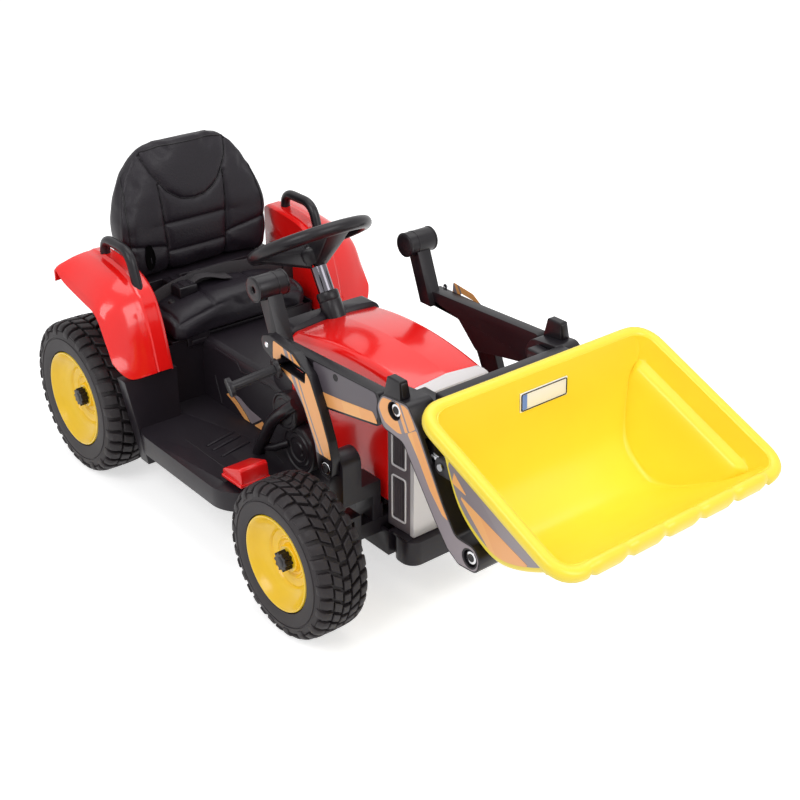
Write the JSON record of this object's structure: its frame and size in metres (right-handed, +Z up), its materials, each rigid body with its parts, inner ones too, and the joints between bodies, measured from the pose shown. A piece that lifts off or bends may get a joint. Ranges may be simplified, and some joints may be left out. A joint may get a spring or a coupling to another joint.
{
  "type": "ride-on toy tractor with front loader",
  "caption": "Child's ride-on tractor with steered front axle, padded seat, foot platforms and a hand-worked front loader whose bucket lifts and tips.",
  "frame": {"origin": "on the floor under the middle of the machine's length and width", "axes": "+X forward towards the bucket, +Y to the driver's left, +Z up"},
  "size_m": [1.2, 0.52, 0.527],
  "materials": {
    "tyre_black": "matt moulded tread",
    "rim_yellow": "smooth moulded",
    "nut_black": "satin",
    "axle_steel": "zinc plated",
    "tub_black": "fine grain",
    "fender_red": "glossy",
    "grab_black": "satin",
    "seat_leather": "imitation leather, stitched",
    "shell_black": "fine grain",
    "belt_webbing": "woven",
    "buckle_black": "satin",
    "hood_red": "glossy",
    "grille_grey": "satin",
    "nose_silver": "silver painted",
    "steering_black": "satin",
    "chrome_tube": "bright plated",
    "pedal_red": "satin",
    "button_red": "glossy",
    "switch_black": "satin",
    "motor_grey": "satin",
    "battery_grey": "satin",
    "box_black": "satin",
    "loader_orange": "black moulding under a printed orange and grey film",
    "loader_black": "fine grain",
    "grip_black": "satin",
    "bucket_yellow": "smooth moulded",
    "plate_white": "smooth"
  },
  "bodies": {
    "chassis": {"body_tub": "tub_black", "fender_right": "fender_red", "fender_left": "fender_red", "grab_handle_right": "grab_black", "grab_handle_left": "grab_black", "seat_shell": "shell_black", "seat_cushion": "seat_leather", "backrest_cushion": "seat_leather", "seat_belt": "belt_webbing", "belt_buckle": "buckle_black", "dash_cowl": "tub_black", "column_sleeve": "chrome_tube", "hood_top": "hood_red", "hood_side_right": "hood_red", "hood_side_left": "hood_red", "grille_right": "grille_grey", "grille_left": "grille_grey", "nose_panel": "nose_silver", "front_bumper": "tub_black", "engine_mouldings": "tub_black", "battery": "battery_grey", "gear_motors": "motor_grey", "control_box": "box_black", "rear_axle": "axle_steel", "front_axle_beam": "axle_steel", "pivot_pins": "axle_steel"},
    "steering": {"steering_wheel": "steering_black", "steering_shaft": "axle_steel"},
    "knuckle_right_body": {"knuckle_right": "axle_steel"},
    "knuckle_left_body": {"knuckle_left": "axle_steel"},
    "tie_rod_body": {"tie_rod": "axle_steel"},
    "front_wheel_right": {"front_tyre_right": "tyre_black", "front_rim_right": "rim_yellow", "front_nut_right": "nut_black"},
    "front_wheel_left": {"front_tyre_left": "tyre_black", "front_rim_left": "rim_yellow", "front_nut_left": "nut_black"},
    "rear_wheel_right": {"rear_tyre_right": "tyre_black", "rear_rim_right": "rim_yellow", "rear_nut_right": "nut_black"},
    "rear_wheel_left": {"rear_tyre_left": "tyre_black", "rear_rim_left": "rim_yellow", "rear_nut_left": "nut_black"},
    "pedal_body": {"pedal": "pedal_red"},
    "button_body": {"power_button": "button_red"},
    "switch_body": {"direction_switch": "switch_black"},
    "loader": {"tower_right": "loader_orange", "tower_left": "loader_orange", "boom_right": "loader_black", "boom_left": "loader_black", "front_arm_right": "loader_orange", "front_arm_left": "loader_orange", "cross_member": "loader_black", "handle_grips": "grip_black", "boom_bumpers": "grip_black", "loader_bolts": "axle_steel"},
    "bucket_body": {"bucket": "bucket_yellow", "number_plate": "plate_white"},
    "tilt_slider": {"tilt_handle": "loader_black"},
    "tilt_link": {"tilt_rod": "chrome_tube"}
  },
  "joints": [
    {"name": "steer_wheel", "type": "hinge", "parent": "chassis", "child": "steering", "pos_m": [-0.14, 0, 0.445], "axis": [-0.5, 0, 0.866], "range_deg": [-30, 30]},
    {"name": "steer_right", "type": "hinge", "parent": "chassis", "child": "knuckle_right_body", "pos_m": [0.12, -0.15, 0.115], "axis": [0, 0, 1], "range_deg": [-18, 18]},
    {"name": "steer_left", "type": "hinge", "parent": "chassis", "child": "knuckle_left_body", "pos_m": [0.12, 0.15, 0.115], "axis": [0, 0, 1], "range_deg": [-18, 18]},
    {"name": "tie_rod_slide", "type": "slide", "parent": "chassis", "child": "tie_rod_body", "axis": [0, -1, 0], "range_m": [-0.0185, 0.0185]},
    {"name": "front_roll_right", "type": "hinge", "parent": "knuckle_right_body", "child": "front_wheel_right", "pos_m": [0.12, -0.22, 0.115], "axis": [0, 1, 0], "continuous": true},
    {"name": "front_roll_left", "type": "hinge", "parent": "knuckle_left_body", "child": "front_wheel_left", "pos_m": [0.12, 0.22, 0.115], "axis": [0, 1, 0], "continuous": true},
    {"name": "rear_roll_right", "type": "hinge", "parent": "chassis", "child": "rear_wheel_right", "pos_m": [-0.47, -0.2125, 0.13], "axis": [0, 1, 0], "continuous": true},
    {"name": "rear_roll_left", "type": "hinge", "parent": "chassis", "child": "rear_wheel_left", "pos_m": [-0.47, 0.2125, 0.13], "axis": [0, 1, 0], "continuous": true},
    {"name": "pedal_press", "type": "hinge", "parent": "chassis", "child": "pedal_body", "pos_m": [-0.089, -0.181, 0.134], "axis": [0, 1, 0], "range_deg": [0, 8], "stiffness_Nm_per_rad": 0.6, "springref_deg": -11.46},
    {"name": "power_press", "type": "slide", "parent": "chassis", "child": "button_body", "axis": [0.9883, 0, -0.1524], "range_m": [0, 0.003], "stiffness_N_per_m": 300, "springref_m": -0.002},
    {"name": "direction_rock", "type": "hinge", "parent": "chassis", "child": "switch_body", "pos_m": [-0.12002, 0.042, 0.3], "axis": [0, 1, 0], "range_deg": [-7, 7]},
    {"name": "loader_lift", "type": "hinge", "parent": "chassis", "child": "loader", "pos_m": [0.113, 0, 0.228], "axis": [0, -1, 0], "range_deg": [0, 30]},
    {"name": "bucket_tilt", "type": "hinge", "parent": "loader", "child": "bucket_body", "pos_m": [0.393, 0, 0.221], "axis": [0, 1, 0], "range_deg": [0, 25]},
    {"name": "tilt_slide", "type": "slide", "parent": "loader", "child": "tilt_slider", "axis": [0.9954, 0, -0.0957], "range_m": [0, 0.0486]},
    {"name": "tilt_swing", "type": "hinge", "parent": "tilt_slider", "child": "tilt_link", "pos_m": [0.01706, -0.138, 0.35602], "axis": [0, -1, 0], "range_deg": [0, 3.35]}
  ],
  "couplings": [
    {"joint": "steer_right", "follows": "steer_wheel", "ratio": 0.6},
    {"joint": "steer_left", "follows": "steer_wheel", "ratio": 0.6},
    {"joint": "tie_rod_slide", "follows": "steer_wheel", "m_per_rad": 0.035332},
    {"joint": "tilt_slide", "follows": "bucket_tilt", "m_per_rad": 0.11138},
    {"joint": "tilt_swing", "follows": "bucket_tilt", "ratio": 0.134}
  ]
}
